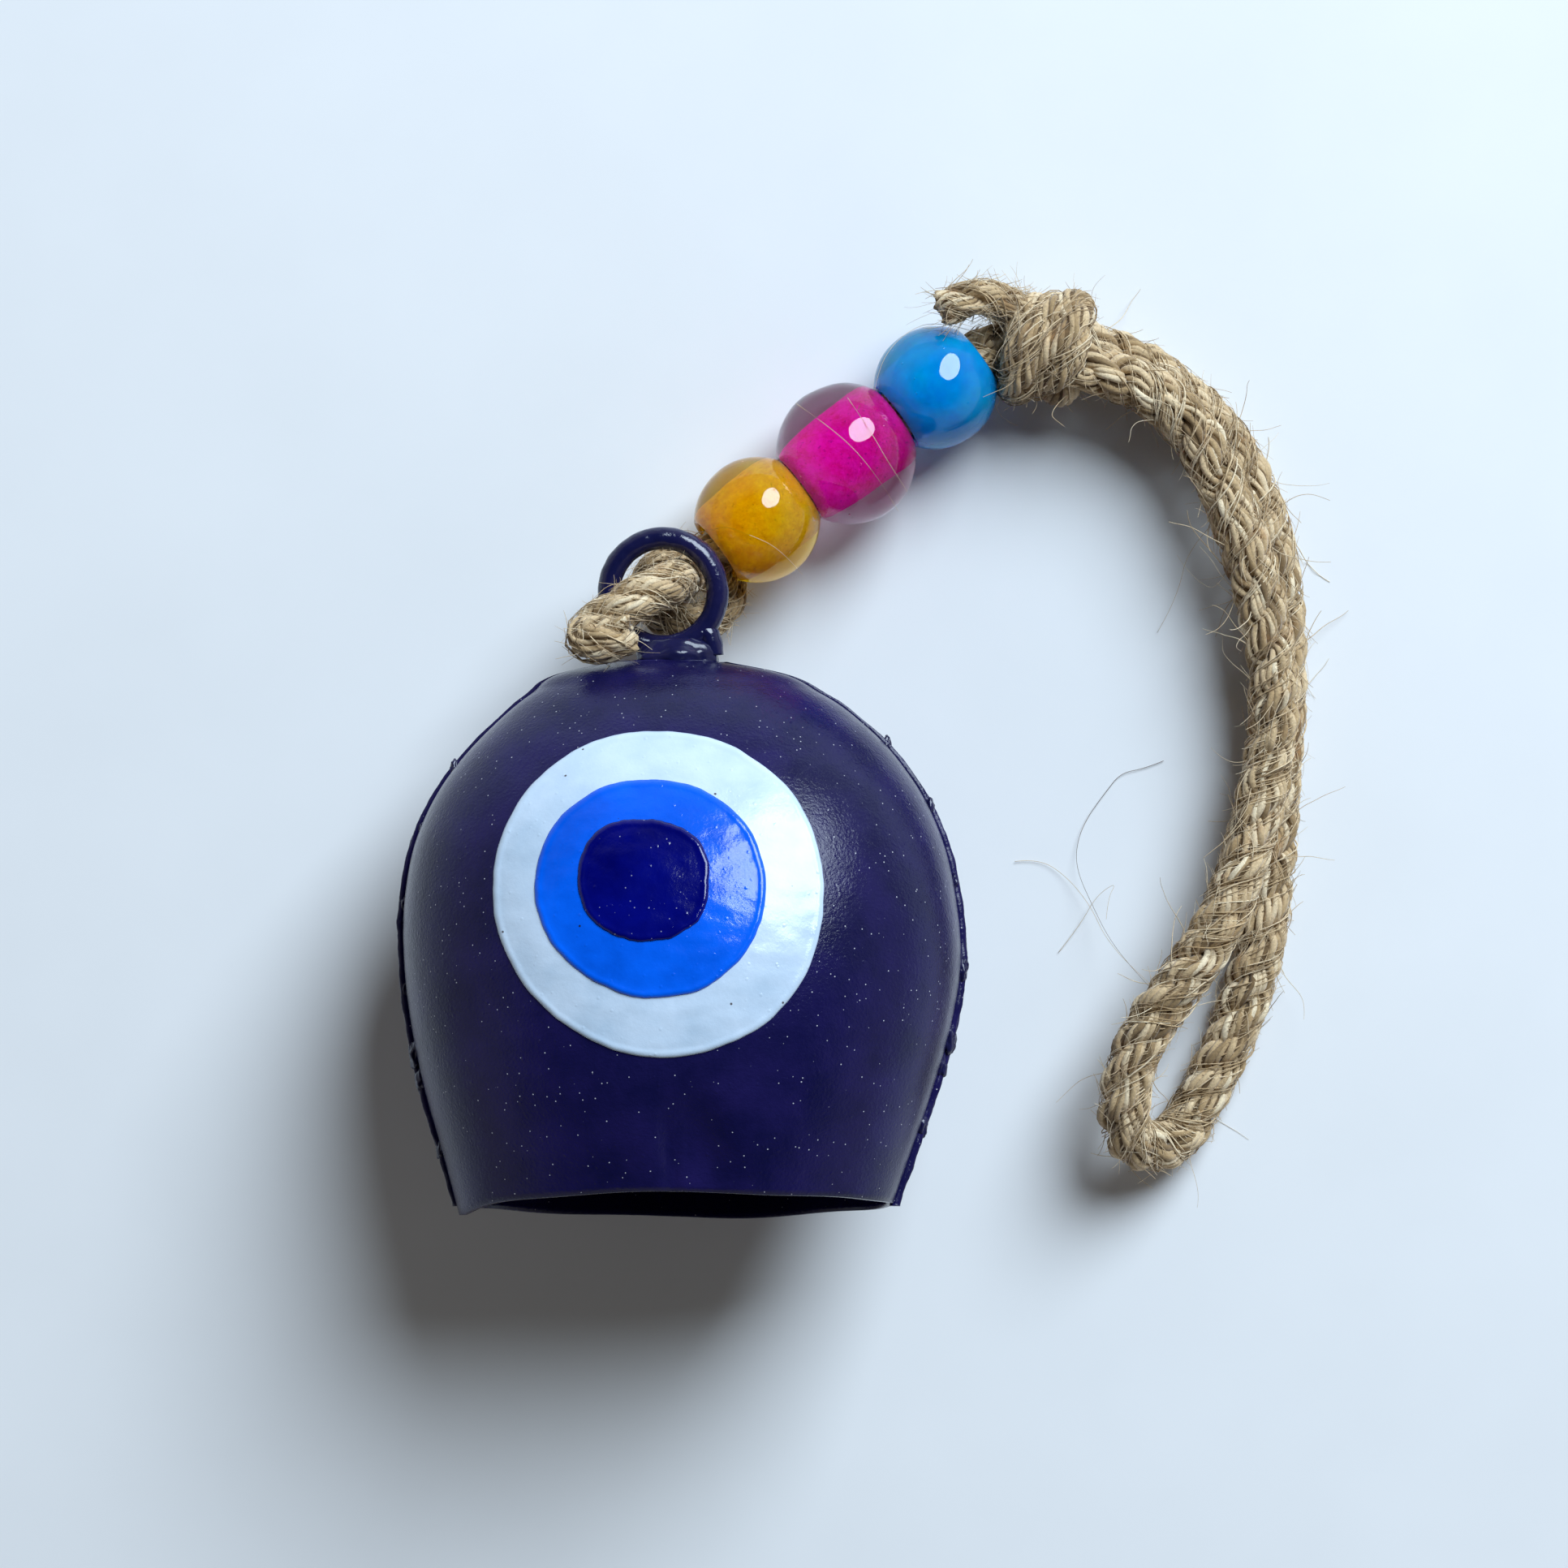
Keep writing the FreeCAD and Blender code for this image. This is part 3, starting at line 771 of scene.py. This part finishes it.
def paint_patch(name, outline, level, seed, mat, slot, cad, ragged, brush):
    """A brushed layer of enamel that stands a little off the layer below."""
    (cx, cy), radii = outline
    rings = 60
    spokes = 260
    a = np.linspace(0, 2 * math.pi, spokes, endpoint=False)
    edge = polar_radius(radii, a)
    for detail, share in ((3.2, 1.0), (11, 0.35)):
        edge = edge + ragged * share * np.array(
            [noise.noise((math.cos(v) * detail, math.sin(v) * detail, seed)) for v in a])
    # the last rings crowd towards the edge, where the layer rounds off
    q = np.concatenate([np.linspace(0.0, 0.93, rings - 12),
                        1 - 0.07 * (1 - np.linspace(0, 1, 13)[1:])])
    q[0] = 0.002
    r = q[:, None] * edge[None, :]
    x = cx + r * np.cos(a)[None, :]
    y = cy + r * np.sin(a)[None, :]
    thick = 0.17
    from_edge = (1 - q[:, None]) * edge[None, :]
    crown = np.clip(from_edge / 0.30, 0, 1)
    lift = thick * np.sqrt(np.clip(1 - (1 - crown) ** 2, 0, 1))
    ridge = 0.06 * np.exp(-((from_edge - 0.35) / 0.25) ** 2)
    wave = np.array([[noise.noise((px * 0.5, py * 0.9, seed + 4)) for px, py in zip(rx, ry)]
                     for rx, ry in zip(x, y)])
    base = 0.02 + 0.2 * (level - 1)
    z = surface_z(x, y, 0.0) + base + lift + ridge + brush * wave * crown
    low = surface_z(x[-1], y[-1], 0.0) + base - 0.15
    verts = np.concatenate([np.stack([x, y, z], axis=-1).reshape(-1, 3),
                            np.stack([x[-1], y[-1], low], axis=-1)])
    count = len(q)
    faces = grid_faces(count + 1, spokes, wrap=True)
    faces.append(tuple(range(spokes))[::-1])
    obj = mesh_object(name, verts, faces)
    return finish_piece(obj, mat, "bell", slot, cad)


paint_patch("white_of_eye", EYE_WHITE, 1, 3.3, white_mat, "white_enamel", "eye_white",
            ragged=0.16, brush=0.05)
paint_patch("blue_of_eye", EYE_BLUE, 2, 8.1, blue_mat, "blue_enamel", "eye_blue",
            ragged=0.13, brush=0.04)
paint_patch("pupil_of_eye", EYE_PUPIL, 3, 5.7, pupil_mat, "pupil_enamel", "eye_pupil",
            ragged=0.16, brush=0.05)


# ----------------------------------------------------------- ring, braze, clapper
def lumpy_tube(name, pts, radius, sides, seed, rough=0.05):
    pts = np.asarray(pts, float)
    v, f = tube_mesh(pts, radius, sides)
    for i in range(len(v)):
        p = v[i]
        c = pts[min(i // sides, len(pts) - 1)]
        k = 1 + rough * noise.noise((p[0] * 1.1 + seed, p[1] * 1.1, p[2] * 1.1))
        v[i] = c + (p - c) * k
    return mesh_object(name, v, f)


cx, cy, cz = RING_CENTRE
ring_arc = [(cx + RING_R * math.cos(math.radians(a)), cy + RING_R * math.sin(math.radians(a)), cz)
            for a in np.linspace(318, -60, 150)]
foot = [(2.25, 20.9, cz), (2.55, 20.0, cz), (2.6, 19.1, cz)]
ring_line = resample(np.array(foot[::-1] + ring_arc), 0.2)
finish_piece(lumpy_tube("ring_wire", ring_line, RING_WIRE, 24, 2.0),
             ring_mat, "bell", "ring_paint", "hanging_ring")


def blob(name, centre, radii, seed, rough, detail=5):
    """Irregular smooth lump."""
    bm = bmesh.new()
    bmesh.ops.create_icosphere(bm, subdivisions=detail, radius=1.0)
    pts = []
    for v in bm.verts:
        k = 1 + rough * noise.noise((v.co.x * 1.7 + seed, v.co.y * 1.7, v.co.z * 1.7))
        k += rough * 0.4 * noise.noise((v.co.x * 4.5, v.co.y * 4.5 + seed, v.co.z * 4.5))
        v.co = Vector([(centre[i] + v.co[i] * k * radii[i]) * MM for i in range(3)])
        pts.append(v)
    me = bpy.data.meshes.new(name)
    bm.to_mesh(me)
    bm.free()
    me.polygons.foreach_set("use_smooth", [True] * len(me.polygons))
    obj = bpy.data.objects.new(name, me)
    scene.collection.objects.link(obj)
    return obj


finish_piece(blob("crown_braze_lump", (-0.6, 18.9, 14.2), (3.7, 1.85, 2.35), 1.0, 0.13),
             braze_mat, "bell", "braze", "crown_braze")


def edge_at(y, side):
    w, h, cx = profile(np.array([y]))
    return to_world(np.array([cx[0] + side * w[0]]), np.array([y]), np.array([0.0]))[0]


SPOTS = {       # y, radius of the thicker lumps of braze
    "left": [(9.0, 0.8), (3.5, 0.7), (-3.0, 0.75), (-10.5, 0.7),
             (-16.2, 1.0), (-18.4, 0.85), (-24.5, 0.75)],
    "right": [(11.0, 0.7), (5.5, 0.75), (-1.0, 0.7), (-8.7, 0.95),
              (-15.0, 1.0), (-17.3, 0.85), (-22.5, 0.75)],
}
for hand, side in (("left", -1), ("right", 1)):
    ys = np.linspace(11.6, -25.6, 150)
    inset, fat = (0.45, 0.22) if side < 0 else (0.3, 0.27)
    line = np.array([edge_at(y, side) - np.array((inset * side, 0, 0)) for y in ys])
    radius = np.array([fat + 0.14 * noise.noise((y * 0.45, side * 4.0, 1.0)) for y in ys])
    v, f = tube_mesh(line, radius, 10)
    finish_piece(mesh_object("braze_line_" + hand, v, f), braze_mat, "bell", "braze",
                 "seam_braze_" + hand)
    lumps = []
    for i, (y, r) in enumerate(SPOTS[hand]):
        r = r * (0.75 if side < 0 and y > -15 else 0.95)
        c = edge_at(y, side) - np.array((0.45 * side, 0, 0))
        lumps.append(blob("braze_%s_%d" % (hand, i), c, (r * 0.7, r * 1.5, r), i * 3.1, 0.3, 4))
    bpy.ops.object.select_all(action="DESELECT")
    for o in lumps:
        o.select_set(True)
    bpy.context.view_layer.objects.active = lumps[0]
    bpy.ops.object.join()
    lumps[0].name = "braze_drops_" + hand
    finish_piece(lumps[0], braze_mat, "bell", "braze", "braze_lumps_" + hand)

for name in ("clapper_hook", "clapper_link", "clapper_rod"):
    assign(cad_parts[name], wire_mat)
assign(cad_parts["clapper_striker"], iron_mat)


# ---------------------------------------------------------------------- the beads
def axis_frame(axis):
    up = np.array((0.0, 0.0, 1.0))
    e1 = up - axis * up.dot(axis)
    e1 /= np.linalg.norm(e1)
    return e1, np.cross(axis, e1)


def revolve(name, profile_pts, centre, axis, sides, seed=0.0, rough=0.0):
    """Ring-shaped solid: a closed profile (along, radius) turned about an axis."""
    e1, e2 = axis_frame(axis)
    prof = np.array(profile_pts)
    a = np.linspace(0, 2 * math.pi, sides, endpoint=False)
    verts = []
    for s, r in prof:
        for v in a:
            k = 1.0
            if rough and r > HOLE_R + 0.4:
                k += rough * noise.noise((math.cos(v) * 1.3 + seed, math.sin(v) * 1.3, s * 0.3))
            d = math.cos(v) * e1 + math.sin(v) * e2
            verts.append(centre + axis * s + d * r * k)
    faces = []
    n = len(prof)
    for i in range(n):
        k = (i + 1) % n
        for j in range(sides):
            m = (j + 1) % sides
            faces.append((i * sides + j, i * sides + m, k * sides + m, k * sides + j))
    return mesh_object(name, verts, faces)


def bead_profile(radius, length):
    half = length / 2
    sag = radius - BEAD_END_R
    big = (half ** 2 + sag ** 2) / (2 * sag)
    pts = []
    limit = math.asin(half / big)
    if big < half:
        limit = math.pi - limit
    for v in np.linspace(-limit, limit, 49):
        pts.append((big * math.sin(v), radius - big + big * math.cos(v)))
    inner = HOLE_R + LINING + 0.02
    pts[0] = (-half, BEAD_END_R)
    pts[-1] = (half, BEAD_END_R)
    pts += [(half - 0.02, BEAD_END_R - 0.18), (half - 0.12, inner + 0.08), (half - 0.3, inner)]
    pts += [(s, inner) for s in np.linspace(half - 0.6, -half + 0.6, 8)]
    pts += [(-half + 0.3, inner), (-half + 0.12, inner + 0.08), (-half + 0.02, BEAD_END_R - 0.18)]
    return pts


def lining_profile(length):
    half = length / 2 - 0.15
    outer = HOLE_R + LINING + 0.14
    pts = [(s, outer) for s in np.linspace(-half, half, 10)]
    pts += [(s, HOLE_R) for s in np.linspace(half, -half, 10)]
    return pts


for name, slot_no, radius, length, mat, coat in (
        ("amber", -1, 5.65, 9.0, amber_mat, amber_lin),
        ("magenta", 0, 6.45, 10.4, magenta_mat, magenta_lin),
        ("turquoise", 1, 5.55, 8.8, turq_mat, turq_lin)):
    centre = BEAD_MID + BEAD_DIR * BEAD_STEP * slot_no
    glass = revolve(name + "_bead", bead_profile(radius, length + BEAD_GROWTH), centre, BEAD_DIR,
                    96, slot_no * 5.0, 0.02)
    finish_piece(glass, mat, name, name + "_glass", "bead_" + name)
    tube = revolve(name + "_core", lining_profile(length), centre, BEAD_DIR, 64)
    finish_piece(tube, coat, name, name + "_coat", "bead_%s_lining" % name)

# ----------------------------------------------------------------------- the strap
rng = random.Random(11)


def rope_piece(name, line, d, cad, phase, per_mm, reach=1.0):
    """One stretch of rope with its fibres, in place of its CAD node."""
    b = Builder()
    rope(b, line, d, rng, phase)
    surface_fibres(b, line, d, rng)
    fuzz(b, line, d, rng, per_mm, reach)
    obj = b.make(name)
    finish_piece(obj, jute_mat, "strap", "jute", cad)
    return obj


loop_line = centreline(LOOP_ROUTE)
loop = rope_piece("jute_loop", loop_line, CORD_D, "cord_loop", 0.4, 8.0, 0.9)

# long loose fibres, a piece of their own
hairs = Builder()
stray_hairs(hairs, loop_line, CORD_D, rng, 170, 7.5)
stray_hairs(hairs, loop_line[:160], CORD_D, rng, 18, 9.0)
HAIR_R = 0.026
LONG_HAIRS = [          # route, tone: fibres that lie beside the loop and over the beads
    ([(43.6, 9.8, 0.2), (41.9, 9.1, 0.2), (39.7, 8.7, 0.2), (38.5, 7.2, 0.2), (36.3, 4.2, 0.3),
      (35.5, 1.5, 0.5), (35.8, -0.7, 1.0), (37.0, -3.4, 2.2), (38.3, -6.2, 3.8), (40.2, -8.8, 6.0),
      (42.2, -11.0, 7.6)], 0.0),
    ([(30.0, 0.6, 0.2), (32.2, 0.9, 0.2), (34.8, -0.8, 0.4), (36.9, -3.5, 1.6), (38.0, -6.1, 3.2),
      (40.0, -8.6, 5.6), (42.0, -10.4, 7.6)], 0.7),
    ([(34.0, -7.7, 0.2), (35.9, -5.3, 0.4), (37.4, -2.5, 0.9), (39.3, -1.2, 1.6), (38.4, -2.6, 2.2),
      (38.2, -4.6, 3.0)], 0.6),
    ([(49.4, 32.8, 6.2), (45.6, 29.5, 4.0), (44.8, 24.6, 1.2), (43.0, 21.5, 0.3)], 0.6),
    ([(0.6, 29.0, 9.5), (2.8, 31.0, 12.2), (5.8, 29.9, 13.6), (8.7, 28.6, 13.0),
      (10.6, 26.4, 10.4)], 0.9),
    ([(10.0, 41.8, 9.6), (12.4, 39.9, 13.1), (15.0, 37.7, 13.9), (17.4, 34.9, 12.4),
      (19.2, 32.2, 8.4)], 0.8),
    ([(14.6, 42.2, 11.4), (16.7, 39.0, 13.6), (18.3, 36.2, 12.4), (20.0, 33.9, 9.6)], 0.9),
    ([(26.9, 48.0, 8.4), (22.8, 49.6, 7.6), (19.3, 48.0, 8.6), (17.2, 44.8, 8.9),
      (16.9, 41.6, 7.6)], 1.0),
]
for route, tone in LONG_HAIRS:
    line = centreline(route, 0.3)
    v, f = tube_mesh(line, HAIR_R * np.linspace(1.0, 0.6, len(line)), 5)
    hairs.add(v, f, tone)
finish_piece(hairs.make("jute_hairs"), jute_mat, "strap", "jute")

run_line = resample(np.array([BEAD_MID - BEAD_DIR * 17.4, BEAD_MID + BEAD_DIR * 17.0]))
rope_piece("jute_bead_run", run_line, CORD_D * 0.98, "cord_bead_run", 0.2, 0.6, 0.4)


# ring knot: a coil that winds out from the cord and fills the ring
k = np.array((0.3, 25.1, 7.0))
knot_pts = []
for i in range(56):
    q = i / 55
    a = 2 * math.pi * (0.1 + 1.75 * q)
    r = 1.1 + 1.8 * min(1.0, q / 0.35)
    knot_pts.append(k + np.array((1.24 * r * math.cos(a), r * math.sin(a),
                                  2.2 * (q - 0.5) - 0.6 * r * math.cos(a))))
rope_piece("jute_ring_knot", resample(np.array(knot_pts)), 3.4, "ring_knot", 0.0, 14.0, 1.5)

hitch = centreline([(0.4, 26.4, 9.0), (-0.4, 25.8, 12.0), (-0.9, 25.6, 16.4), (-4.0, 24.1, 18.1),
                    (-6.8, 22.3, 18.2), (-9.2, 20.6, 18.4), (-7.4, 19.9, 19.3), (-4.5, 20.9, 19.0)])
rope_piece("jute_hitch", hitch, HITCH_D, "ring_hitch", 0.9, 12.0)

# big knot: three wraps over a core
kc = np.array((31.9, 47.2, 5.7))
big = Builder()
wrap_pts = []
for i in range(160):
    q = i / 159
    a = 2 * math.pi * 3.15 * q + 0.9
    s = -2.9 + 6.0 * q
    r = 3.1 + 0.25 * math.sin(q * 9)
    wrap_pts.append(kc + np.array((s + 0.25 * r * math.sin(a) * 0.3, r * math.sin(a),
                                   r * math.cos(a) * 0.98)))
wrap_line = resample(np.array(wrap_pts))
rope(big, wrap_line, 4.0, rng, 0.3)
core_line = resample(np.array([kc + np.array((-3.6, -0.6, 0)), kc + np.array((3.6, 0.2, 0))]))
rope(big, core_line, 4.4, rng, 0.0)
surface_fibres(big, wrap_line, 4.0, rng, 5.0)
fuzz(big, wrap_line, 4.0, rng, 7.0)
stray_hairs(big, wrap_line, 4.0, rng, 26, 6.0)
finish_piece(big.make("jute_big_knot"), jute_mat, "strap", "jute", "bead_knot")

tail_line = centreline([(30.6, 49.9, 7.4), (28.4, 51.2, 8.8), (25.6, 51.5, 9.6), (23.0, 50.2, 9.9)])
rope_piece("jute_tail", tail_line, 3.3, "knot_tail", 0.0, 26.0, 1.4)

# ------------------------------------------------------------------- the surroundings
TABLE = 900
floor = mesh_object("table", [(-TABLE, -TABLE, 0), (TABLE, -TABLE, 0), (TABLE, TABLE, 0),
                              (-TABLE, TABLE, 0)], [(0, 1, 2, 3)], False)
mat, nt, bsdf = new_material("table")
vec = coords(nt)
pale = ramp(nt, noise_tex(nt, vec, 0.05, 3.0),
            [(0.3, (0.79, 0.795, 0.80)), (0.7, (0.815, 0.82, 0.825))])
nt.links.new(pale, bsdf.inputs["Base Color"])
bsdf.inputs["Roughness"].default_value = 0.6
assign(floor, mat)

LIGHT_AZ = math.radians(33)
LIGHT_EL = math.radians(44)
LIGHT_DIST = 1.1
sun_dir = Vector((math.sin(LIGHT_AZ) * math.cos(LIGHT_EL), math.cos(LIGHT_AZ) * math.cos(LIGHT_EL),
                  math.sin(LIGHT_EL)))
key = bpy.data.lights.new("softbox", "AREA")
key.shape = "ELLIPSE"
key.size = 2 * LIGHT_DIST * math.tan(math.radians(16))
key.size_y = 2 * LIGHT_DIST * math.tan(math.radians(21))
key.energy = 19.5
key.color = (0.74, 0.87, 1.0)
key_obj = bpy.data.objects.new("softbox", key)
key_obj.location = Vector((0.01, 0.0, 0.0)) + sun_dir * LIGHT_DIST
key_obj.rotation_euler = sun_dir.to_track_quat("Z", "Y").to_euler()
scene.collection.objects.link(key_obj)

world = bpy.data.worlds.new("studio")
world.use_nodes = True
# the room is darker overhead than around the table
wnt = world.node_tree
sky = wnt.nodes.new("ShaderNodeTexCoord")
split = wnt.nodes.new("ShaderNodeSeparateXYZ")
wnt.links.new(sky.outputs["Generated"], split.inputs["Vector"])
level = ramp(wnt, split.outputs["Z"], [(0.0, (0.55, 0.545, 0.53)), (0.35, (0.50, 0.49, 0.48)),
                                       (0.75, (0.0, 0.0, 0.0))])
wnt.links.new(level, wnt.nodes["Background"].inputs["Color"])
wnt.nodes["Background"].inputs["Strength"].default_value = 0.84
scene.world = world
scene.view_settings.view_transform = "Standard"
